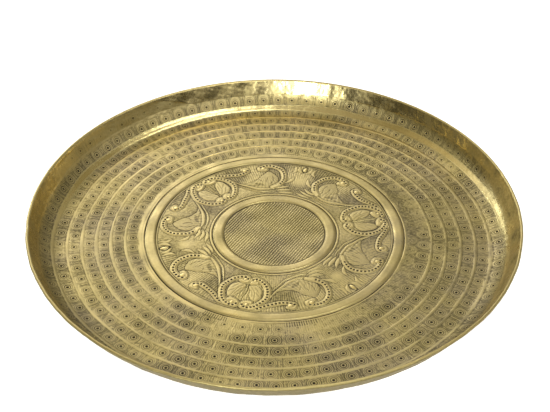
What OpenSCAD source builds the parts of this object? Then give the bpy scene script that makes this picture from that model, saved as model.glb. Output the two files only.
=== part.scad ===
// Round dished tray of chased sheet brass with a rolled, wired edge.
// Origin: centre of the underside of the floor, +Z up. Millimetres.

/* [Tray] */
// Outside diameter over the rolled edge
tray_d = 400; // [300:5:600]
// Height from the resting face to the top of the rolled edge
tray_h = 24.8; // [18:0.2:40]
// Thickness of the brass sheet
sheet_t = 0.7; // [0.5:0.05:1.2]
// Steepness of the straight part of the wall, from the floor
wall_lean = 65; // [50:1:80]
// Radius of the curve from the floor into the wall, on its upper face
wall_rho = 22; // [10:0.5:34]

/* [Rolled edge] */
// Radius of the stiffening wire
wire_r = 0.62; // [0.4:0.02:1.2]
// Play between the wire and the sheet rolled round it
wire_gap = 0.03; // [0.02:0.01:0.1]
// How far the sheet is rolled round the wire
roll_turn = 275; // [240:5:280]

/* [Raised rings] */
// Inner radius of the ring round the hatched centre
ring1_r0 = 41.7; // [30:0.1:48]
// Outer radius of the ring round the hatched centre
ring1_r1 = 50.6; // [49:0.1:60]
// Inner radius of the ring round the scroll band
ring2_r0 = 97.5; // [80:0.1:100]
// Outer radius of the ring round the scroll band
ring2_r1 = 106.5; // [102:0.1:109]
// Height that the rings are raised from behind
ring_h = 0.9; // [0.5:0.1:3]

/* [Hidden] */
$fn = 96;
R = tray_d / 2;
roll_ri = wire_r + wire_gap;  // inside of the rolled edge
roll_ro = roll_ri + sheet_t;  // outside of the rolled edge
wire_c = [R - roll_ro, tray_h - roll_ro];
// last point of the wall's upper face, where the roll begins
lip = wire_c + roll_ro * [-sin(wall_lean), cos(wall_lean)];
// where the floor turns up, found back from the edge
straight_dz = lip[1] - sheet_t - wall_rho * (1 - cos(wall_lean));
floor_r = lip[0] - straight_dz / tan(wall_lean) - wall_rho * sin(wall_lean);
arc_c = [floor_r, sheet_t + wall_rho];
N_RING = 16;
N_ARC = 20;
N_ROLL = 24;

// height of a raised ring at radius r, flat on top with rounded shoulders
function ridge(r, a, b) = r <= a || r >= b ? 0 : ring_h * (1 - pow(abs(2 * (r - a) / (b - a) - 1), 5));
function ring_z(r) = ridge(r, ring1_r0, ring1_r1) + ridge(r, ring2_r0, ring2_r1);
// a point on the curve of the wall at angle a, d below its upper face
function wall_pt(a, d) = arc_c + (wall_rho + d) * [sin(a), -cos(a)];
function steps(a, b, n) = [for (i = [0:n]) a + (b - a) * i / n];
function back(list) = [for (i = [len(list) - 1:-1:0]) list[i]];

// radii at which the raised rings bend
ring_pts = concat(steps(ring1_r0, ring1_r1, N_RING), steps(ring2_r0, ring2_r1, N_RING));
// directions from the wire round the roll: over the top, outwards and back under
roll_dirs = steps(90 + wall_lean, 90 + wall_lean - roll_turn, N_ROLL);

// the sheet in section: upper face out to the edge, round the roll, lower face back
function section() = concat(
    [[0, sheet_t]],
    [for (r = ring_pts) [r, sheet_t + ring_z(r)]],
    [for (a = steps(0, wall_lean, N_ARC)) wall_pt(a, 0)],
    [for (a = roll_dirs) wire_c + roll_ro * [cos(a), sin(a)]],
    [for (a = back(roll_dirs)) wire_c + roll_ri * [cos(a), sin(a)]],
    [for (a = back(steps(0, wall_lean, N_ARC))) wall_pt(a, sheet_t)],
    [for (r = back(ring_pts)) [r, ring_z(r)]],
    [[0, 0]]
);

// the sheet: floor with its two raised rings, wall and rolled edge
module tray_pan() {
    color("darkgoldenrod")
    rotate_extrude()
    polygon(section());
}

// the wire that the edge is rolled round
module rim_wire() {
    color("gray")
    rotate_extrude()
    translate(wire_c) circle(r = wire_r, $fn = 32);
}

tray_pan();
rim_wire();
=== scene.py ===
"""Looks of a round chased brass tray: worked surface, tarnish with some painted light and shade, studio floor, light
and camera.
"""

import math

import bpy
import numpy as np
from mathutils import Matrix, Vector


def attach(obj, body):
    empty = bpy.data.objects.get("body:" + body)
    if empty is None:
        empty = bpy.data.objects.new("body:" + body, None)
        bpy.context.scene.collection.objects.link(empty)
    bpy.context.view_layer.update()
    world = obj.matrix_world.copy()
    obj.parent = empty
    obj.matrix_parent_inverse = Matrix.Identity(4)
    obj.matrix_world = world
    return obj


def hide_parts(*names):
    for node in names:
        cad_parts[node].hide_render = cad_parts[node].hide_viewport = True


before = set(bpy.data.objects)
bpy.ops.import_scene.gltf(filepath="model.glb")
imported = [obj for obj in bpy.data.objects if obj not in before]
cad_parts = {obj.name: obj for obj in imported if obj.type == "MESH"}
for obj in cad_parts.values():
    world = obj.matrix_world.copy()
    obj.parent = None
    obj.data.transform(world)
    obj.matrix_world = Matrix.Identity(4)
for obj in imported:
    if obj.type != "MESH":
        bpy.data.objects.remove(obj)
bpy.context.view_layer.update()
RES = 0.40  # mm between points of the worked surface
MM = 0.001

# ---------------------------------------------------------------- section of the sheet, in mm
R, TRAY_H, T = 200.0, 24.8, 0.7
LEAN, RHO = math.radians(65), 22.0
ROLL_RI = 0.65
ROLL_RO = ROLL_RI + T
WIRE_C = np.array([R - ROLL_RO, TRAY_H - ROLL_RO])
LIP = WIRE_C + ROLL_RO * np.array([-math.sin(LEAN), math.cos(LEAN)])
STRAIGHT_DZ = LIP[1] - T - RHO * (1 - math.cos(LEAN))
FLOOR_R = LIP[0] - STRAIGHT_DZ / math.tan(LEAN) - RHO * math.sin(LEAN)
S_ARC = FLOOR_R + RHO * LEAN
S_LIP = S_ARC + STRAIGHT_DZ / math.sin(LEAN)
RING1, RING2, RING_H = (41.7, 50.6), (97.5, 106.5), 0.9


def smooth(a, b, x):
    t = np.clip((x - a) / (b - a), 0, 1)
    return t * t * (3 - 2 * t)


def profile(s):
    """Radius, height and unit normal of the upper face at distance s along it from the centre."""
    a = np.clip((s - FLOOR_R) / RHO, 0, LEAN)
    extra = np.maximum(s - S_ARC, 0)
    r = np.where(s < FLOOR_R, s, FLOOR_R + RHO * np.sin(a) + extra * math.cos(LEAN))
    z = T + RHO * (1 - np.cos(a)) + extra * math.sin(LEAN)
    return r, z, -np.sin(a), np.cos(a)


# ---------------------------------------------------------------- seeded noise
def waves(x, y, size, seed, n=14):
    """Smooth bumps about `size` mm across, roughly -1 to 1."""
    g = np.random.default_rng(seed)
    out = np.zeros_like(x)
    for _ in range(n):
        d, ph = g.uniform(0, math.tau), g.uniform(0, math.tau)
        k = math.tau / (size * g.uniform(0.7, 1.6))
        out += np.cos(k * (x * math.cos(d) + y * math.sin(d)) + ph)
    return out / math.sqrt(n / 2) * 0.7


def hash01(ix, iy, seed):
    h = (ix.astype(np.int64) * 374761393 + iy.astype(np.int64) * 668265263 + seed * 974634777) & 0xFFFFFFFF
    h = ((h ^ (h >> 13)) * 1274126177) & 0xFFFFFFFF
    return ((h ^ (h >> 16)) & 0xFFFF) / 65535.0


def grain(x, y, size, seed):
    """Fine speckle with cells `size` mm across, 0 to 1."""
    u, v = x / size, y / size
    iu, iv = np.floor(u), np.floor(v)
    fu, fv = u - iu, v - iv
    fu, fv = fu * fu * (3 - 2 * fu), fv * fv * (3 - 2 * fv)
    a, b = hash01(iu, iv, seed), hash01(iu + 1, iv, seed)
    c, d = hash01(iu, iv + 1, seed), hash01(iu + 1, iv + 1, seed)
    return (a * (1 - fu) + b * fu) * (1 - fv) + (c * (1 - fu) + d * fu) * fv


def line(d, w):
    """A rounded groove of half width w, 1 at its middle."""
    return np.exp(-((d / w) ** 2))


# ---------------------------------------------------------------- warp of the whole sheet
def edge_wobble(th):
    g = np.random.default_rng(7)
    out = np.zeros_like(th)
    for n in range(2, 13):
        out += g.normal(0, 1) * np.cos(n * th + g.uniform(0, math.tau)) / n**0.7
    return out * 0.16


def warp(s, th, x, y):
    """Gentle hand-worked unevenness, along the normal."""
    up = smooth(176, 200, s)
    return 0.05 * waves(x, y, 46, 3) * (1 - 0.3 * up) + 0.035 * waves(x, y, 19, 4) + up * (edge_wobble(th) + 0.09 * waves(x, y, 24, 5) + 0.045 * waves(th * 198, s * 0.22, 6.5, 6) + 0.010 * waves(th * 198, s * 0.3, 2.8, 8) + 0.028 * waves(th * 198, s, 5.0, 9))


def ridge(s, a, b):
    u = np.clip((s - a) / (b - a), 0, 1)
    return RING_H * (1 - np.abs(2 * u - 1) ** 5)


# ---------------------------------------------------------------- strokes of the scroll band
AXES = (12.5, 132.5, 252.5)  # the three medallions, degrees anticlockwise from +X
# half of one repeat: degrees from the medallion's axis, and radius in mm
MEDAL = [(5.2, 87.6), (3.2, 88.0), (1.5, 90.0), (1.9, 92.6), (4.2, 93.6), (7.2, 91.8), (9.8, 88.2), (11.8, 84.2), (13.2, 80.4), (13.8, 76.5),
         (13.8, 73.2), (13.1, 69.4), (11.8, 65.9), (9.2, 62.7), (6.0, 60.5), (3.2, 60.3), (1.7, 62.2), (2.6, 64.5), (5.2, 64.3)]
TAIL = [(5.4, 96.4), (8.8, 93.9), (12.9, 90.5), (17.0, 87.6), (21.4, 86.1), (25.0, 86.6), (27.4, 89.2), (26.6, 92.2), (24.6, 91.4)]
CLEAF = [(37.6, 88.3), (35.0, 89.0), (34.8, 91.8), (38.0, 93.6), (42.2, 92.7), (45.8, 88.8), (48.0, 83.0), (49.0, 76.8), (48.2, 71.0), (45.6, 66.2), (42.0, 62.9)]
STEM = [(15.2, 80.0), (17.3, 75.0), (20.2, 70.2), (24.4, 65.6), (29.4, 62.0), (35.4, 60.2), (40.6, 60.8), (45.0, 63.4), (49.8, 65.6)]
STEM2 = [(16.2, 71.6), (19.8, 66.2), (25.0, 60.6), (31.0, 57.6), (38.0, 56.6), (44.0, 57.4)]
BLADES = [[(43.5, 61.4), (48.5, 62.4), (54.0, 65.6)], [(44.0, 58.6), (50.0, 58.8), (56.6, 61.2)], [(45.5, 55.6), (52.0, 55.4), (58.6, 57.0)],
          [(53.0, 84.0), (55.2, 89.0), (54.4, 95.0)], [(59.2, 86.0), (57.0, 90.0), (56.6, 95.6)], [(50.2, 69.5), (54.0, 73.5), (55.6, 79.0)]]
PALM = [(39.2, 85.2), (36.4, 81.6), (33.6, 78.6), (31.4, 75.0), (27.4, 72.4), (22.6, 71.4), (18.4, 74.0), (16.6, 77.4), (18.2, 71.8), (21.4, 67.2),
        (26.4, 63.4), (32.0, 61.4), (37.6, 61.4), (42.2, 65.0), (45.0, 71.0), (44.6, 77.2), (42.2, 82.0)]
PALM_VEINS = [[(33.0, 77.6), (32.6, 74.6), (34.4, 71.4)], [(38.4, 76.4), (37.2, 72.6), (37.4, 69.6)], [(41.6, 78.6), (41.8, 73.0), (39.8, 67.2)], [(19.4, 72.0), (24.4, 68.0), (30.0, 66.2)]]
HALF = [(0.9, 68.4), (2.2, 74.4), (3.4, 81.0), (6.4, 85.6), (9.0, 83.0), (10.2, 77.6), (10.2, 72.6), (8.0, 68.8), (4.6, 67.0)]
HALF_VEINS = [[(2.4, 69.2), (5.2, 74.8), (6.6, 83.6)], [(5.6, 70.0), (8.4, 74.8)], [(3.0, 73.6), (4.8, 80.4)], [(6.6, 76.0), (9.0, 79.6)]]
COMB = [[(28.4 + 1.25 * i, 65.2 - 0.55 * i + 5.4), (30.2 + 1.25 * i, 65.2 - 0.55 * i + 1.6)] for i in range(5)]
BUD = (60.0, 91.4)
BOSS = (60.0, 74.0)


def place(pts, axis, side):
    p = np.array(pts, float)
    a = np.radians(axis + side * p[:, 0])
    return np.c_[p[:, 1] * np.cos(a), p[:, 1] * np.sin(a)]


def curve(p, closed=False, step=0.8):
    """A smooth line through the points."""
    q = np.vstack([p[-1], p, p[0], p[1]]) if closed else np.vstack([2 * p[0] - p[1], p, 2 * p[-1] - p[-2]])
    out = []
    for i in range(1, len(q) - 2):
        n = max(2, int(np.hypot(*(q[i + 1] - q[i])) / step))
        t = np.linspace(0, 1, n, endpoint=False)[:, None]
        a, b, c, d = q[i - 1], q[i], q[i + 1], q[i + 2]
        out.append(0.5 * (2 * b + (c - a) * t + (2 * a - 5 * b + 4 * c - d) * t**2 + (3 * b - a - 3 * c + d) * t**3))
    out = np.vstack(out)
    return np.vstack([out, out[0] if closed else q[-2]])


def near(x, y, p, reach):
    lo, hi = p.min(0) - reach, p.max(0) + reach
    return np.nonzero((x > lo[0]) & (x < hi[0]) & (y > lo[1]) & (y < hi[1]))[0]


def to_line(x, y, p):
    """Distance to the line through points p, and how far along it the nearest point is."""
    best, along, run = np.full(x.shape, 1e9), np.zeros(x.shape), 0.0
    for a, b in zip(p[:-1], p[1:]):
        e = b - a
        n = math.hypot(*e)
        if n < 1e-9:
            continue
        t = np.clip(((x - a[0]) * e[0] + (y - a[1]) * e[1]) / n**2, 0, 1)
        d = np.hypot(x - a[0] - t * e[0], y - a[1] - t * e[1])
        k = d < best
        best[k], along[k] = d[k], run + t[k] * n
        run += n
    return best, along, run


def inside(x, y, p):
    c = np.zeros(x.shape, bool)
    for a, b in zip(p[:-1], p[1:]):
        if a[1] != b[1]:
            c ^= ((a[1] > y) != (b[1] > y)) & (x < (b[0] - a[0]) * (y - a[1]) / (b[1] - a[1]) + a[0])
    return c


def scroll(s, th, x, y):
    """Height and tarnish of the scroll band."""
    shape = s.shape
    s, th, x, y = (v.ravel() for v in (s, th, x, y))
    bx, by = x + 0.35 * waves(x, y, 17, 21), y + 0.35 * waves(x, y, 17, 22)  # the hand's unevenness
    mat = grain(x, y, 0.95, 31)
    lines = 0.5 + 0.5 * np.cos(th * 276 + 2.0 * waves(x, y, 30, 23))
    ground = 0.50 * mat + 0.50 * lines
    h = -0.15 + 0.16 * ground
    worn = np.clip(0.5 + 0.55 * waves(x, y, 33, 24), 0, 1)
    tar = np.clip(0.85 - 0.48 * ground - 0.25 * worn, 0, 1)

    def lay(i, top, t_top, edge, dark=0.55):
        """A raised form over what lies there; `edge` is its outline's groove, 0 to 1."""
        h[i] = np.where(top > -8, np.maximum(h[i], top), h[i]) - 0.10 * edge
        tar[i] = np.where(top > h[i] - 0.02, t_top, tar[i])
        tar[i] = np.clip(tar[i] + dark * edge, 0, 1)

    def ribbon(p, w0, height, dots=True, taper=0.0):
        i = near(bx, by, p, w0 + 2)
        if not len(i):
            return
        d, t, n = to_line(bx[i], by[i], p)
        w = w0 * (1 - taper * (2 * np.abs(t / n - 0.5)) ** 1.6)
        k = d < w
        cap = height * smooth(0, 1.0, (w - d) / np.maximum(w, 1e-3) * 1.7)
        top = np.where(k, cap, -9.0)
        t_top = np.full(len(i), 0.21 if dots else 0.28)
        if dots:
            rim = line(d - (w - 0.85), 0.26)
            top = np.where(k, top - 0.08 * rim, top)
            t_top = t_top + 0.30 * rim
            u = (t / 3.0) % 1.0 - 0.5
            spot = smooth(1.20, 0.60, np.hypot(u * 3.0, d))
            ends = smooth(4.0, 7.0, t) * smooth(4.0, 7.0, n - t)
            top = np.where(k, top - 0.17 * spot * ends, top)
            t_top = t_top + 0.98 * spot * ends
        lay(i, top, np.clip(t_top, 0, 1), line(d - w - 0.30, 0.42), 0.30 if dots else 0.17)

    def leaf(p, veins, height, tt, tip=None):
        i = near(bx, by, p, 2)
        if not len(i):
            return
        d, _, _ = to_line(bx[i], by[i], p)
        k = inside(bx[i], by[i], p)
        top = np.where(k, height * (1 - np.exp(-d / 1.6)), -9.0)
        t_top = np.full(len(i), tt)
        for v in veins:
            dv, _, _ = to_line(bx[i], by[i], v)
            g = line(dv, 0.42)
            top, t_top = np.where(k, top - 0.12 * g, top), t_top + 0.21 * g
        if tip is not None:  # feather strokes that spread from the tip
            fan = 0.5 + 0.5 * np.cos(np.arctan2(by[i] - tip[1], bx[i] - tip[0]) * 44)
            top, t_top = np.where(k, top - 0.07 * fan, top), t_top + 0.16 * fan
        lay(i, top, np.clip(t_top, 0, 1), np.where(k, 0, line(d - 0.30, 0.42)), 0.26)

    for ax in AXES:
        for sd in (1, -1):
            def c(pts, closed=False):
                return curve(place(pts, ax, sd), closed)
            ribbon(c(STEM2), 0.9, 0.22, dots=False, taper=0.5)
            leaf(c(PALM, True), [c(v) for v in PALM_VEINS], 0.17, 0.31, place([(37.6, 86.5)], ax, sd)[0])
            ribbon(c(STEM), 1.5, 0.20, dots=False, taper=0.7)
            for v in COMB:
                i = near(bx, by, place(v, ax, sd), 2)
                if len(i):
                    g = line(to_line(bx[i], by[i], place(v, ax, sd))[0], 0.40)
                    h[i] -= 0.14 * g
                    tar[i] = np.clip(tar[i] + 0.26 * g, 0, 1)
            ribbon(c(CLEAF), 2.75, 0.22)
            ribbon(c(TAIL), 2.45, 0.21)
            leaf(c(HALF, True), [c(v) for v in HALF_VEINS], 0.16, 0.30)
            ribbon(c(MEDAL), 2.75, 0.23)
            for b in BLADES:
                ribbon(c(b), 1.6, 0.05, dots=False, taper=0.8)
            for pts, rad, hh in (([(3.6, 90.6)], 1.6, 0.32), ([(25.6, 89.6)], 2.2, 0.36), ([(36.4, 90.4)], 2.2, 0.36), ([(3.6, 62.4)], 1.5, 0.30)):
                q = place(pts, ax, sd)
                i = near(bx, by, q, rad + 1.5)
                if len(i):
                    d = np.hypot(bx[i] - q[0, 0], by[i] - q[0, 1])
                    lay(i, np.where(d < rad, hh * np.sqrt(np.clip(1 - (d / rad) ** 2, 0, 1)), -9.0), 0.10, 0.5 * line(d - rad - 0.2, 0.35))
        # worn smooth where the stems of two repeats meet
        q = place([BOSS], ax, 1)
        i = near(bx, by, q, 14)
        if len(i):
            f = 0.85 * line(np.hypot(bx[i] - q[0, 0], by[i] - q[0, 1]), 6.0)
            h[i], tar[i] = h[i] * (1 - f) + 0.02 * f, tar[i] * (1 - f) + 0.22 * f
        q = place([BUD], ax, 1)
        i = near(bx, by, q, 5)
        if len(i):
            a = math.radians(ax + BUD[0])
            u = (bx[i] - q[0, 0]) * math.cos(a) + (by[i] - q[0, 1]) * math.sin(a)
            v = -(bx[i] - q[0, 0]) * math.sin(a) + (by[i] - q[0, 1]) * math.cos(a)
            d = np.hypot(u / 3.6, v / 1.8)
            lay(i, np.where(d < 1, 0.4 * np.sqrt(np.clip(1 - d * d, 0, 1)), -9.0), 0.10, line((d - 1.15) * 2.0, 0.42))
        q = place([(0.0, 67.0), (0.0, 77.0), (0.0, 87.0)], ax, 1)
        ribbon(curve(q), 0.6, 0.3, dots=False, taper=0.4)
    # plain fillets beside the two rings
    f = np.maximum(smooth(54.0, 53.0, s), smooth(95.6, 96.6, s))
    h, tar = h * (1 - f) + 0.02 * f, tar * (1 - f) + 0.24 * f
    for r in (51.2, 53.6, 96.2, 97.6):
        g = line(s - r - 0.12 * waves(x, y, 40, 25), 0.40) * (0.55 if r in (53.6, 96.2) else 1.0)
        h, tar = h - 0.32 * g, np.clip(tar + 0.80 * g, 0, 1)
    return h.reshape(shape), tar.reshape(shape)


# ---------------------------------------------------------------- the stamped spiral
PITCH, ROW0, SHIFT, STEP = 11.76, 151.8, 0.3, 13.7
J = np.random.default_rng(11)
JIT = J.normal(0, 1, (1400, 2)) * (0.42, 0.28)
DEEP = J.uniform(0.82, 1.12, 1400)


def spiral(s, th, x, y):
    """Height, and tarnish with painted light and shade, of the stamped spiral field, from the plain band to the edge.
    """
    deg = np.degrees(th) % 360
    wob = 0.28 * waves(x, y, 60, 40) + SHIFT * np.cos(th) - 1.1 * np.sin(th) + 0.3
    q = (s - wob - ROW0) / PITCH + deg / 360
    q = q - 0.15 * smooth(3.02, 3.45, q)  # the row at the foot of the wall sits a little higher
    k = np.floor(q)
    v = (q - k - 0.5) * PITCH
    turn = np.radians(deg - 360 * k)
    run = (ROW0 + PITCH / 2) * turn - PITCH / (4 * math.pi) * turn**2
    j = np.floor(run / STEP)
    idx = np.clip(j.astype(int) + 700, 0, 1399)
    u = (run / STEP - j - 0.5) * STEP
    rho = np.hypot(u - JIT[idx, 0], v - JIT[idx, 1])
    # where rows are struck hard, faintly or not at all
    amp = np.ones_like(s)
    first = k <= -3
    amp = np.where(first, (0.35 + 0.65 * smooth(22, 40, deg)) * (1 - 0.55 * smooth(235, 300, deg)), amp)
    amp = np.where(k <= -4, 0.0, amp)
    last = k >= 4
    amp = np.where(last, 0.75 * smooth(112, 124, deg) * (1 - smooth(146, 168, deg)), amp)
    bare = np.where(last, smooth(150, 172, deg), np.where(k == 3, smooth(24, 8, deg), 0.0))  # the row runs out on the smooth wall
    amp = np.clip(amp * (0.94 + 0.14 * waves(x, y, 52, 41)), 0, 1.1) * DEEP[idx]
    top = 4.0 + smooth(112, 124, deg)
    start = 109.2 - 1.4 * np.cos(th) + 0.8 * np.sin(th)
    field = smooth(start, start + 2.4, s + 0.45 * waves(x, y, 17, 42)) * smooth(0.04, -0.04, q - top) * (1 - bare)
    up = smooth(186, 201, s)

    along = ((u - JIT[idx, 0]) / np.maximum(rho, 0.1)) ** 2  # 1 along the row, 0 across it
    rings = 1.08 * line(rho - 2.40, 0.44) + 0.72 * line(rho - 3.85, 0.38) + (0.20 + 0.80 * along) * line(rho - 5.40, 0.46)
    halo = line(rho - 6.50, 0.80)  # deep ground close round each stamp
    dot = smooth(1.28, 0.82, rho)
    disc = smooth(6.4, 5.8, rho)
    hit = np.minimum(amp, 1.0)
    mat = 0.55 * grain(x, y, 0.95, 43) + 0.45 * (0.5 + 0.5 * np.cos(math.tau * run / 1.70 + 0.7 * waves(x, y, 12, 44)))
    h_g = -0.20 + 0.16 * mat
    h_b = -0.03 - 0.20 * rings * amp - 0.36 * dot * amp
    h = h_g + (h_b - h_g) * disc * hit
    # wear, with less of it on the right close to the plain band, which paints shade there
    worn = np.clip(0.45 + 0.6 * waves(x, y, 44, 45), 0, 1) * (1 - 0.7 * smooth(0.1, 0.7, np.cos(th)) * smooth(132, 122, s))
    t_g = (0.79 - 0.50 * mat - 0.12 * worn) * np.where(last, 0.6, 1.0)
    t_b = 0.37 + 0.55 * rings * amp + 1.2 * dot * amp - 0.08 * worn
    near_side_painted_shading = smooth(0.1, 0.8, -np.sin(th))  # painted shade on the near side: darker, most of all towards the wall, with the ground nearer the middle painted a little lighter
    t_b = t_b + 0.07 * near_side_painted_shading * (1 - np.clip(rings + dot, 0, 1))
    t_g = t_g + near_side_painted_shading * (-0.09 + 0.13 * smooth(140, 172, s))
    # deeper ground round each stamp, and painted shade on the right close to the plain band
    t_g = t_g + 0.16 * halo * hit + 0.11 * smooth(124, 116, s) * smooth(0.1, 0.8, np.cos(th))
    far = smooth(0.2, 0.9, np.sin(th))  # painted light: the stamps and ribs on the far side are lighter
    t_g, t_b = t_g + 0.02 * far, t_b - 0.11 * far * (1 - np.clip(rings + dot, 0, 1))
    tar = t_g + (t_b - t_g) * disc * hit

    d = (q - np.round(q)) * PITCH
    kr = np.round(q)
    rib_on = np.where(kr <= -2, 1 - 0.85 * smooth(205, 245, deg) * (kr == -2), 1.0) * np.where(kr <= -3, 0.0, 1.0)
    rib_on = np.where(kr >= 4, 0.4 * smooth(108, 124, deg), rib_on)
    foot = smooth(173, 182, s) * (kr == 3) * smooth(-0.25, 0.55, np.sin(th))
    wide = 1.10 + 0.22 * waves(x, y, 70, 46) + 1.1 * foot
    rib = smooth(wide + 0.75, wide - 0.85, np.abs(d)) * rib_on
    cut = 0.3 * line(d + wide + 0.40, 0.32) * rib_on * (0.75 + 0.4 * waves(x, y, 80, 47)) + 0.6 * line(d - wide - 0.40, 0.30) * rib_on
    inner_side_painted_light = smooth(-4.6, -0.6, d) * (d < 0) * rib_on * smooth(-0.7, 0.5, np.sin(th) - np.cos(th))  # painted light: the ground on the inner side of each rib is lighter on the far and left sides
    flat = np.maximum(wide**2 - d**2, 0) / (2 * RHO)  # level across the curve of the wall
    h = h * (1 - rib) + ((0.05 + 0.05 * line(d, 1.3)) * (1 - foot) + (0.04 + flat) * foot) * rib - 0.10 * np.clip(cut, 0, 1)
    # the ribs: painted shade on the right, painted light on the far side, and a painted highlight on the wide rib at
    # the foot of the far wall
    tar = tar * (1 - rib) + (0.38 - 0.34 * foot + 0.11 * smooth(0.2, 0.9, np.cos(th)) * (1 - foot) - 0.20 * far * (1 - foot) + 0.06 * waves(x, y, 38, 50)) * rib - 0.12 * inner_side_painted_light * (1 - rib) + 0.28 * np.clip(cut, 0, 1)

    speck = grain(th * 198, s, 1.3, 51)  # fine hammer marks on the wall
    h_plain = 0.03 * waves(x, y, 14, 48) + up * 0.022 * speck
    t_plain = 0.29 + 0.08 * waves(x, y, 26, 49) + up * (-0.17 + 0.08 * waves(x, y, 17, 52) + 0.20 * (speck - 0.5))
    t_plain = t_plain + 0.27 * smooth(192, 199, s) * smooth(0.80, 0.95, np.cos(th))  # painted shade: darker and browner on the right of the wall
    h, tar = h * field + h_plain * (1 - field), tar * field + t_plain * (1 - field)
    g = 0.6 * line(s - 109.0 - 0.15 * waves(x, y, 40, 25), 0.40) * np.clip(0.4 + 0.7 * waves(x, y, 60, 53), 0, 1)
    h, tar = h - 0.2 * g, tar + 0.6 * g
    # short radial cuts beside the plain band, left from marking out
    for a0, a1 in ((240, 251.5), (274, 288)):
        on = smooth(a0, a0 + 1, deg) * smooth(a1, a1 - 1, deg) * smooth(107.6, 108.4, s) * smooth(113.4, 112.6, s)
        g = np.clip(np.cos(th * 112 * math.tau / 1.9) * 1.6 - 0.5, 0, 1) * on
        h, tar = h - 0.16 * g, tar + 0.5 * g
    return h, np.clip(tar, 0, 1)


def centre(s, th, x, y):
    """Height and tarnish of the cross-hatched middle."""
    a, b = math.radians(58.5), math.radians(146.3)
    xx, yy = x + 0.25 * waves(x, y, 30, 60), y + 0.25 * waves(x, y, 30, 61)
    p = -xx * math.sin(a) + yy * math.cos(a)
    q = -xx * math.sin(b) + yy * math.cos(b)
    g1 = line((p / 2.16 - np.round(p / 2.16)) * 2.16, 0.50)
    g2 = line((q / 2.16 - np.round(q / 2.16)) * 2.16, 0.36)
    patch = np.clip(0.55 + 0.6 * waves(x, y, 28, 62), 0, 1)
    h = -0.04 - 0.19 * g1 - 0.11 * g2 * (0.5 + 0.5 * patch)
    tar = 0.21 + 0.07 * patch + (0.45 + 0.18 * patch) * np.maximum(g1, 0.65 * g2)
    f = smooth(40.4, 41.2, s)
    h, tar = h * (1 - f), tar * (1 - f) + 0.12 * f
    g = line(s - 41.4, 0.42)
    return h - 0.30 * g, np.clip(tar + 0.8 * g, 0, 1)


def rings(s, th, x, y):
    """Height and tarnish of the plain raised rings and the band outside them."""
    h = 0.03 * waves(x, y, 16, 70)
    tar = 0.33 + 0.08 * waves(x, y, 24, 71)
    for r in (41.4, 51.2, 97.6, 106.9):
        g = line(s - r - 0.12 * waves(x, y, 40, 25), 0.42) * np.clip(0.85 + 0.4 * waves(x, y, 60, 72), 0.2, 1.2)
        h, tar = h - 0.32 * g, tar + 0.80 * g
    return h, np.clip(tar, 0, 1)


def work(s, th):
    """Raised height above the plain section, and tarnish, with painted light and shade on the stamped field and the
    wall, anywhere on the upper face.
    """
    x, y = s * np.cos(th), s * np.sin(th)
    h, tar = np.zeros_like(s), np.zeros_like(s)
    for lo, hi, f in ((-1, 41.5, centre), (41.5, 51.3, rings), (51.3, 97.4, scroll), (97.4, 107.3, rings), (107.3, 999, spiral)):
        m = (s >= lo) & (s < hi)
        if m.any():
            h[m], tar[m] = f(s[m], th[m], x[m], y[m])
    # no stroke goes deeper than the sheet allows
    h = np.maximum(h, -0.45) + ridge(s, *RING1) + ridge(s, *RING2) + warp(s, th, x, y)
    return h, tar


def upper(s, th, h):
    r, z, nr, nz = profile(s)
    rr, zz = r + nr * h, z + nz * h
    return np.stack([rr * np.cos(th), rr * np.sin(th), zz], -1)


def lower(s, th):
    x, y = s * np.cos(th), s * np.sin(th)
    h = ridge(s, *RING1) + ridge(s, *RING2) + smooth(172, 186, s) * warp(s, th, x, y) - T
    return upper(s, th, h)


# ---------------------------------------------------------------- meshes
def build(name, verts, quads, uvs, tar, normals=None, tris=None, tri_uvs=None):
    nq, nt = len(quads), 0 if tris is None else len(tris)
    loops = quads.ravel() if nt == 0 else np.r_[quads.ravel(), tris.ravel()]
    uv = uvs.reshape(-1, 2) if nt == 0 else np.vstack([uvs.reshape(-1, 2), tri_uvs.reshape(-1, 2)])
    me = bpy.data.meshes.new(name)
    me.vertices.add(len(verts))
    me.vertices.foreach_set("co", (verts * MM).astype(np.float32).ravel())
    me.loops.add(len(loops))
    me.loops.foreach_set("vertex_index", loops.astype(np.int32))
    me.polygons.add(nq + nt)
    starts = np.r_[np.arange(nq) * 4, nq * 4 + np.arange(nt) * 3].astype(np.int32)
    me.polygons.foreach_set("loop_start", starts)
    me.update(calc_edges=True)
    me.validate()
    lay = me.uv_layers.new(name="OFBake")
    lay.uv.foreach_set("vector", uv.astype(np.float32).ravel())
    # tarnish per point; on the stamped field and the wall it also holds painted light and shade
    at = me.attributes.new("tarnish", "FLOAT", "POINT")
    at.data.foreach_set("value", tar.astype(np.float32))
    me.shade_smooth()
    if normals is None:
        me.set_sharp_from_angle(angle=math.radians(38))
    else:
        me.normals_split_custom_set_from_vertices(normals)
    ob = bpy.data.objects.new(name, me)
    bpy.context.scene.collection.objects.link(ob)
    ob.data.materials.append(BRASS)
    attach(ob, "root")
    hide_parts("tray_pan")
    return ob


def strip_uv(quad_cols, cols, strips, u_corner, v_corner):
    """Lays a band's quads out as stacked strips, so that the map isn't stretched."""
    per = cols // strips
    k = quad_cols // per
    u = (u_corner - (k * per)[:, None]) / per
    return np.stack([0.003 + 0.994 * u, (k[:, None] + v_corner) / strips], -1)


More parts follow.
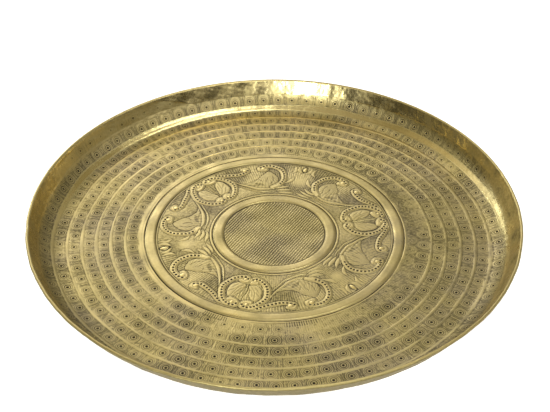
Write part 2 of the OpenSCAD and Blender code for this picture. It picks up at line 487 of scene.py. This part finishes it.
def band(name, s0, s1, strips=8):
    ds = (s1 - s0) / max(2, round((s1 - s0) / (RES * 0.95)))
    ns = round((s1 - s0) / ds)
    mid = float(profile(np.array((s0 + s1) / 2))[0])
    cols = int(math.ceil(math.tau * mid / RES / strips)) * strips
    th = np.arange(cols) * math.tau / cols
    s = s0 + np.arange(-1, ns + 2) * ds
    S, TH = np.meshgrid(s, th, indexing="ij")
    h, tar = work(S, TH)
    P = upper(S, TH, h)
    n = np.cross(P[2:] - P[:-2], np.roll(P, -1, 1)[1:-1] - np.roll(P, 1, 1)[1:-1])
    n /= np.linalg.norm(n, axis=-1, keepdims=True)
    P, tar = P[1:-1], tar[1:-1]
    nb = max(3, round((s1 - s0) / 2.4))
    sb = np.linspace(s0, s1, nb + 1)
    SB, TB = np.meshgrid(sb, th, indexing="ij")
    B = lower(SB, TB)
    SX, TX = np.meshgrid(np.r_[sb[0] - 1, sb, sb[-1] + 1], th, indexing="ij")
    BX = lower(SX, TX)
    m = -np.cross(BX[2:] - BX[:-2], np.roll(BX, -1, 1)[1:-1] - np.roll(BX, 1, 1)[1:-1])
    m /= np.linalg.norm(m, axis=-1, keepdims=True)
    verts = np.vstack([P.reshape(-1, 3), B.reshape(-1, 3)])
    norms = np.vstack([n.reshape(-1, 3), m.reshape(-1, 3)])
    off = (ns + 1) * cols
    j = np.arange(cols)
    j1 = (j + 1) % cols

    def at(i, jj, base=0):
        return base + i * cols + jj

    I, JJ = np.meshgrid(np.arange(ns), j, indexing="ij")
    I, JJ = I.ravel(), JJ.ravel()
    J1 = (JJ + 1) % cols
    q_top = np.stack([at(I, JJ), at(I + 1, JJ), at(I + 1, J1), at(I, J1)], -1)
    uv_top = strip_uv(JJ, cols, strips, np.stack([JJ, JJ, JJ + 1, JJ + 1], -1), 0.02 + 0.72 * np.stack([I, I + 1, I + 1, I], -1) / ns)
    I2, K2 = np.meshgrid(np.arange(nb), j, indexing="ij")
    I2, K2 = I2.ravel(), K2.ravel()
    L2 = (K2 + 1) % cols
    q_bot = np.stack([at(I2, K2, off), at(I2, L2, off), at(I2 + 1, L2, off), at(I2 + 1, K2, off)], -1)
    uv_bot = strip_uv(K2, cols, strips, np.stack([K2, K2 + 1, K2 + 1, K2], -1), 0.77 + 0.15 * np.stack([I2, I2, I2 + 1, I2 + 1], -1) / nb)
    q_out = np.stack([at(ns, j), at(nb, j, off), at(nb, j1, off), at(ns, j1)], -1)
    uv_out = strip_uv(j, cols, strips, np.stack([j, j, j + 1, j + 1], -1), np.tile([0.975, 0.985, 0.985, 0.975], (cols, 1)))
    q_in = np.stack([at(0, j), at(0, j1), at(0, j1, off), at(0, j, off)], -1)
    uv_in = strip_uv(j, cols, strips, np.stack([j, j + 1, j + 1, j], -1), np.tile([0.945, 0.945, 0.955, 0.955], (cols, 1)))
    low = 0.58 + 0.12 * smooth(172, 186, SB) + 0.03 * waves(SB * np.cos(TB), SB * np.sin(TB), 40, 80) + 0.04 * waves(SB * np.cos(TB), SB * np.sin(TB), 13, 81)
    return build(name, verts, np.vstack([q_top, q_bot, q_out, q_in]), np.vstack([uv_top, uv_bot, uv_out, uv_in]), np.r_[tar.ravel(), np.clip(low, 0, 1).ravel()], norms)


def disc(name, s1):
    """The middle of the floor, on an even grid drawn into a circle."""
    n = int(2 * s1 / RES)
    g = np.linspace(-1, 1, n + 1)
    A, B = np.meshgrid(g, g, indexing="ij")
    x = A * np.sqrt(1 - B * B / 2) * s1
    y = B * np.sqrt(1 - A * A / 2) * s1
    s, th = np.hypot(x, y), np.arctan2(y, x)

    def surf(xx, yy):
        ss, tt = np.hypot(xx, yy), np.arctan2(yy, xx)
        hh, tr = work(ss, tt)
        return T + hh, tr

    z, tar = surf(x, y)
    e = 0.2
    zx = (surf(x + e, y)[0] - surf(x - e, y)[0]) / (2 * e)
    zy = (surf(x, y + e)[0] - surf(x, y - e)[0]) / (2 * e)
    N = np.stack([-zx, -zy, np.ones_like(z)], -1)
    N /= np.linalg.norm(N, axis=-1, keepdims=True)
    top = np.stack([x, y, z], -1).reshape(-1, 3)
    w = n + 1
    idx = np.arange(w * w).reshape(w, w)
    q_top = np.stack([idx[:-1, :-1], idx[1:, :-1], idx[1:, 1:], idx[:-1, 1:]], -1).reshape(-1, 4)
    rim = np.r_[idx[:-1, 0], idx[-1, :-1], idx[:0:-1, -1], idx[0, :0:-1]]  # anticlockwise
    m = len(rim)
    rings_b, nb = [], 18
    for f in np.linspace(1.0, 0.05, nb):
        p = top[rim] * f
        p[:, 2] = 0
        rings_b.append(p)
    verts = np.vstack([top] + rings_b + [np.zeros((1, 3))])
    base = w * w
    k = np.arange(m)
    k1 = (k + 1) % m
    q_side = np.stack([rim[k], base + k, base + k1, rim[k1]], -1)
    q_b = [np.stack([base + a * m + k, base + (a + 1) * m + k, base + (a + 1) * m + k1, base + a * m + k1], -1) for a in range(nb - 1)]
    tris = np.stack([base + (nb - 1) * m + k, np.full(m, base + nb * m), base + (nb - 1) * m + k1], -1)
    norms = np.vstack([N.reshape(-1, 3), np.tile([0, 0, -1.0], (nb * m + 1, 1))])
    flat = np.vstack([top[:, :2]] + [p[:, :2] for p in rings_b] + [np.zeros((1, 2))]) / (2 * s1) + 0.5
    quads = np.vstack([q_top, q_side] + q_b)
    uv = flat[quads].copy()
    uv[: len(q_top)] = 0.01 + uv[: len(q_top)] * (0.80, 0.98)
    uv[len(q_top):] = (0.83, 0.01) + uv[len(q_top):] * 0.15
    ns_ = len(q_side)
    uv[len(q_top): len(q_top) + ns_] = (0.83, 0.30) + np.stack([np.stack([k, k, k + 1, k + 1], -1) / m * 0.15, np.tile([0.0, 0.01, 0.01, 0.0], (m, 1))], -1)
    tuv = (0.83, 0.01) + flat[tris] * 0.15
    bx, by = verts[base:, 0], verts[base:, 1]
    low = 0.58 + 0.03 * waves(bx, by, 40, 80) + 0.04 * waves(bx, by, 13, 81)
    return build(name, verts, quads, uv, np.clip(np.r_[tar.ravel(), low], 0, 1), norms, tris, tuv)


def edge(name, s0, strips=8):
    """The top of the wall with the edge rolled outwards over the wire."""
    cols = int(math.ceil(math.tau * 198 / (RES * 1.9) / strips)) * strips
    th = np.arange(cols) * math.tau / cols
    n_up = max(4, round((S_LIP - s0) / (RES * 1.3)))
    s = np.linspace(s0, S_LIP, n_up + 1)
    S, TH = np.meshgrid(s, th, indexing="ij")
    h, tar = work(S, TH)
    lip_h = h[-1]
    rows = [upper(S, TH, h)]
    tars = [tar]
    a0, turn = math.pi / 2 + LEAN, math.radians(275)
    nr_, nz_ = -math.sin(LEAN), math.cos(LEAN)

    def ring(rad, a):
        rr = WIRE_C[0] + rad * math.cos(a) + nr_ * lip_h
        return np.stack([rr * np.cos(th), rr * np.sin(th), WIRE_C[1] + rad * math.sin(a) + nz_ * lip_h], -1)

    steps = np.linspace(0, 1, 13)
    outer = np.stack([ring(ROLL_RO, a0 - turn * f) for f in steps[1:]])
    inner = np.stack([ring(ROLL_RI, a0 - turn * f) for f in steps[::-1]])
    sb = np.linspace(S_LIP, s0, 7)[1:]
    SB, TB = np.meshgrid(sb, th, indexing="ij")
    rows += [outer, inner, lower(SB, TB)]
    P = np.concatenate(rows)
    n = len(P)
    tr = np.concatenate([tar, np.repeat((0.32 + 0.38 * smooth(0.30, 0.55, steps[1:]))[:, None], cols, 1), np.full((len(inner), cols), 0.6), np.full((len(sb), cols), 0.70)])
    I, JJ = np.meshgrid(np.arange(n), np.arange(cols), indexing="ij")
    I, JJ = I.ravel(), JJ.ravel()
    I1, J1 = (I + 1) % n, (JJ + 1) % cols
    quads = np.stack([I * cols + JJ, I1 * cols + JJ, I1 * cols + J1, I * cols + J1], -1)
    vv = 0.02 + 0.94 * np.stack([I, I + 1, I + 1, I], -1) / n
    uv = strip_uv(JJ, cols, strips, np.stack([JJ, JJ, JJ + 1, JJ + 1], -1), vv)
    return build(name, P.reshape(-1, 3), quads, uv, np.clip(tr, 0, 1).ravel())


# ---------------------------------------------------------------- materials
def node(nt, kind, x=0, y=0, **vals):
    n = nt.nodes.new(kind)
    n.location = (x, y)
    for key, v in vals.items():
        if key in n.inputs:
            n.inputs[key].default_value = v
        else:
            setattr(n, key, v)
    return n


def mix(nt, a, b, f, x=0, y=0):
    n = nt.nodes.new("ShaderNodeMix")
    n.data_type = "RGBA"
    n.location = (x, y)
    for sock, v in (("Factor_Float", f), ("A_Color", a), ("B_Color", b)):
        inp = next(i for i in n.inputs if i.identifier == sock)
        if hasattr(v, "links"):
            nt.links.new(v, inp)
        else:
            inp.default_value = v
    return next(o for o in n.outputs if o.identifier == "Result_Color")


def math_node(nt, op, a, b=0.0, c=None, clamp=False):
    n = nt.nodes.new("ShaderNodeMath")
    n.operation, n.use_clamp = op, clamp
    for i, v in enumerate((a, b) if c is None else (a, b, c)):
        if hasattr(v, "links"):
            nt.links.new(v, n.inputs[i])
        else:
            n.inputs[i].default_value = v
    return n.outputs[0]


def brass():
    m = bpy.data.materials.new("chased_brass")
    m.use_nodes = True
    nt = m.node_tree
    p = nt.nodes["Principled BSDF"]
    p.inputs["Metallic"].default_value = 1.0
    co = node(nt, "ShaderNodeTexCoord").outputs["Object"]
    # tarnish, which on the stamped field and the wall also carries painted light and shade
    tar = node(nt, "ShaderNodeAttribute", attribute_name="tarnish").outputs["Fac"]
    cloud = node(nt, "ShaderNodeTexNoise", Scale=26.0, Detail=5.0, Roughness=0.6)
    fine = node(nt, "ShaderNodeTexNoise", Scale=420.0, Detail=4.0, Roughness=0.65)
    scratch = node(nt, "ShaderNodeTexNoise", Scale=1.0, Detail=3.0)
    stretch = node(nt, "ShaderNodeMapping", Scale=(900.0, 70.0, 70.0), Rotation=(0, 0, 0.7))
    for t in (cloud, fine):
        nt.links.new(co, t.inputs["Vector"])
    nt.links.new(co, stretch.inputs["Vector"])
    nt.links.new(stretch.outputs[0], scratch.inputs["Vector"])
    base = mix(nt, (0.79, 0.625, 0.25, 1), (0.69, 0.555, 0.26, 1), cloud.outputs["Fac"])
    # dirt and tarnish, with the painted light and shade that the tarnish carries
    dirt_and_painted_shading = math_node(nt, "MULTIPLY_ADD", math_node(nt, "SUBTRACT", fine.outputs["Fac"], 0.5), 0.30, tar, clamp=True)
    stain = node(nt, "ShaderNodeTexNoise", Scale=17.0, Detail=4.0, Roughness=0.6)
    nt.links.new(co, stain.inputs["Vector"])
    grey = math_node(nt, "MULTIPLY_ADD", stain.outputs["Fac"], 5.0, -2.1, clamp=True)
    sep_co = nt.nodes.new("ShaderNodeSeparateXYZ")
    nt.links.new(co, sep_co.inputs[0])
    grey = math_node(nt, "MULTIPLY", grey, math_node(nt, "MULTIPLY_ADD", sep_co.outputs["Z"], -90.0, 1.3, clamp=True))
    film = mix(nt, (0.355, 0.29, 0.118, 1), (0.33, 0.272, 0.152, 1), grey)
    mid = mix(nt, base, film, math_node(nt, "MULTIPLY", dirt_and_painted_shading, 1.6, clamp=True))
    col = mix(nt, mid, (0.035, 0.028, 0.02, 1), math_node(nt, "MULTIPLY_ADD", dirt_and_painted_shading, 1.9, -0.90, clamp=True))
    nt.links.new(col, p.inputs["Base Color"])
    rough = math_node(nt, "MULTIPLY_ADD", cloud.outputs["Fac"], 0.12, 0.11)
    rough = math_node(nt, "MULTIPLY_ADD", dirt_and_painted_shading, 0.48, rough)
    rough = math_node(nt, "MULTIPLY_ADD", scratch.outputs["Fac"], 0.06, rough, clamp=True)
    nt.links.new(rough, p.inputs["Roughness"])
    bump = node(nt, "ShaderNodeBump", Strength=0.18, Distance=0.0002)
    hsum = math_node(nt, "MULTIPLY_ADD", scratch.outputs["Fac"], 0.6, fine.outputs["Fac"])
    nt.links.new(hsum, bump.inputs["Height"])
    nt.links.new(bump.outputs[0], p.inputs["Normal"])
    return m


def steel():
    m = bpy.data.materials.new("drawn_wire")
    m.use_nodes = True
    nt = m.node_tree
    p = nt.nodes["Principled BSDF"]
    p.inputs["Metallic"].default_value = 1.0
    n = node(nt, "ShaderNodeTexNoise", Scale=300.0, Detail=3.0)
    nt.links.new(node(nt, "ShaderNodeTexCoord").outputs["Object"], n.inputs["Vector"])
    nt.links.new(mix(nt, (0.50, 0.50, 0.51, 1), (0.34, 0.33, 0.32, 1), n.outputs["Fac"]), p.inputs["Base Color"])
    nt.links.new(math_node(nt, "MULTIPLY_ADD", n.outputs["Fac"], 0.2, 0.3), p.inputs["Roughness"])
    return m


BRASS = brass()
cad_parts["rim_wire"].data.materials.clear()
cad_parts["rim_wire"].data.materials.append(steel())

disc("floor_centre", 41.4)
band("ring_inner", 41.4, 51.4, 4)
band("scroll_band_inner", 51.4, 75.0, 4)
band("scroll_band_outer", 75.0, 97.2, 4)
band("ring_outer", 97.2, 111.6, 6)
CUTS = [111.6, 126.0, 139.6, 152.4, 164.4, 175.6, 186.0, 196.0]
for i, (a, b) in enumerate(zip(CUTS[:-1], CUTS[1:])):
    band("stamped_band_%d" % (i + 1), a, b, 8)
edge("wall_and_rolled_edge", CUTS[-1], 8)

# ---------------------------------------------------------------- floor, light, camera
me = bpy.data.meshes.new("studio_floor")
me.from_pydata([(-6, -6, -0.0003), (6, -6, -0.0003), (6, 6, -0.0003), (-6, 6, -0.0003)], [], [(0, 1, 2, 3)])
floor = bpy.data.objects.new("studio_floor", me)
bpy.context.scene.collection.objects.link(floor)
fm = bpy.data.materials.new("pale_floor")
fm.use_nodes = True
fp = fm.node_tree.nodes["Principled BSDF"]
fp.inputs["Base Color"].default_value = (0.93, 0.93, 0.925, 1)
fp.inputs["Roughness"].default_value = 0.9
fp.inputs["Specular IOR Level"].default_value = 0.1
fp.inputs["Emission Color"].default_value = (1, 1, 1, 1)
fp.inputs["Emission Strength"].default_value = 0.75
floor.data.materials.append(fm)

scene = bpy.context.scene
world = bpy.data.worlds.new("studio")
scene.world = world
world.use_nodes = True
wn = world.node_tree
bg = wn.nodes["Background"]
ramp = wn.nodes.new("ShaderNodeValToRGB")
sep = wn.nodes.new("ShaderNodeSeparateXYZ")
wc = wn.nodes.new("ShaderNodeTexCoord")
wn.links.new(wc.outputs["Generated"], sep.inputs[0])
wn.links.new(sep.outputs["Z"], ramp.inputs[0])
els = ramp.color_ramp.elements
els[0].position, els[0].color = 0.0, (0.26, 0.26, 0.26, 1)
els[1].position, els[1].color = 1.0, (0.213, 0.206, 0.189, 1)
for pos, c in ((0.08, (0.22, 0.22, 0.22)), (0.18, (0.135, 0.135, 0.13)), (0.30, (0.135, 0.135, 0.13)), (0.42, (0.31, 0.31, 0.32)),
               (0.55, (0.92, 0.93, 0.98)), (0.63, (0.37, 0.373, 0.38)), (0.74, (0.372, 0.343, 0.262))):
    e = els.new(pos)
    e.color = (*c, 1)
# brighter behind and to the left of the tray, dimmer and warmer to the right and on the near side
high = wn.nodes.new("ShaderNodeMapRange")
high.interpolation_type = "SMOOTHSTEP"
high.inputs["From Min"].default_value, high.inputs["From Max"].default_value = 0.30, 0.52
wn.links.new(sep.outputs["Z"], high.inputs["Value"])
back = math_node(wn, "MULTIPLY", math_node(wn, "MAXIMUM", sep.outputs["Y"], 0.0), high.outputs["Result"])
side = math_node(wn, "MULTIPLY_ADD", math_node(wn, "MULTIPLY", sep.outputs["X"], back), -5.0, 1.0)
side = math_node(wn, "MINIMUM", math_node(wn, "MAXIMUM", side, 0.30), 1.6)
depth = math_node(wn, "MAXIMUM", math_node(wn, "MULTIPLY_ADD", sep.outputs["Y"], math_node(wn, "MULTIPLY_ADD", math_node(wn, "LESS_THAN", sep.outputs["Y"], 0.0), 0.40, 0.80), 1.0), 0.20)
front = math_node(wn, "MULTIPLY", math_node(wn, "MAXIMUM", math_node(wn, "MULTIPLY", sep.outputs["Y"], -1.0), 0.0), high.outputs["Result"])
depth = math_node(wn, "MULTIPLY_ADD", front, 2.6, depth)
side = math_node(wn, "MULTIPLY", side, depth)
far_left = wn.nodes.new("ShaderNodeMapRange")
far_left.interpolation_type = "SMOOTHSTEP"
for key, v in (("From Min", -0.26), ("From Max", -0.46), ("To Min", 1.65), ("To Max", 0.85)):
    far_left.inputs[key].default_value = v
wn.links.new(sep.outputs["X"], far_left.inputs["Value"])
side = math_node(wn, "MULTIPLY", side, far_left.outputs["Result"])
warm = math_node(wn, "MULTIPLY_ADD", side, -0.60, 1.45, clamp=True)
tint = mix(wn, (1, 1, 1, 1), (1.0, 0.945, 0.74, 1), warm)
both = wn.nodes.new("ShaderNodeVectorMath")
both.operation = "MULTIPLY"
wn.links.new(ramp.outputs[0], both.inputs[0])
wn.links.new(tint, both.inputs[1])
wn.links.new(both.outputs[0], bg.inputs["Color"])
wn.links.new(side, bg.inputs["Strength"])
# a plain pale backdrop behind the tray in low views
pale = wn.nodes.new("ShaderNodeBackground")
pale.inputs["Color"].default_value = (0.86, 0.86, 0.855, 1)
path, pick = wn.nodes.new("ShaderNodeLightPath"), wn.nodes.new("ShaderNodeMixShader")
wn.links.new(path.outputs["Is Camera Ray"], pick.inputs[0])
wn.links.new(bg.outputs[0], pick.inputs[1])
wn.links.new(pale.outputs[0], pick.inputs[2])
wn.links.new(pick.outputs[0], wn.nodes["World Output"].inputs["Surface"])


def softbox(name, loc, target, size, power, turn=None):
    li = bpy.data.lights.new(name, "AREA")
    li.shape, li.size, li.size_y, li.energy = "RECTANGLE", size[0], size[1], power
    ob = bpy.data.objects.new(name, li)
    ob.location = loc
    ob.rotation_euler = (Vector(target) - Vector(loc)).to_track_quat("-Z", "Y").to_euler() if turn is None else (0, 0, turn)
    li.color = (0.90, 0.96, 1.0)
    scene.collection.objects.link(ob)
    return ob


softbox("front_window", (-0.50, -1.83, 0.64), (0, 0.15, 0), (0.34, 0.30), 15.5)
softbox("left_window", (-1.24, 1.45, 0.62), (0, 0, 0), (0.62, 0.34), 3.6)
softbox("overhead", (0.45, 0.22, 2.0), (0, 0, 0), (1.1, 0.20), 7.0, math.radians(42))

cam = bpy.data.cameras.new("camera")
cam.sensor_width, cam.lens = 36.0, 80.5
cam.clip_start, cam.clip_end = 0.01, 50
ob = bpy.data.objects.new("camera", cam)
ob.location = (0.0005, -0.7877, 0.6397)
ob.rotation_euler = (math.radians(90 - 37.81), 0, 0)
scene.collection.objects.link(ob)
scene.camera = ob
scene.view_settings.view_transform = "Standard"
scene.view_settings.look = "None"
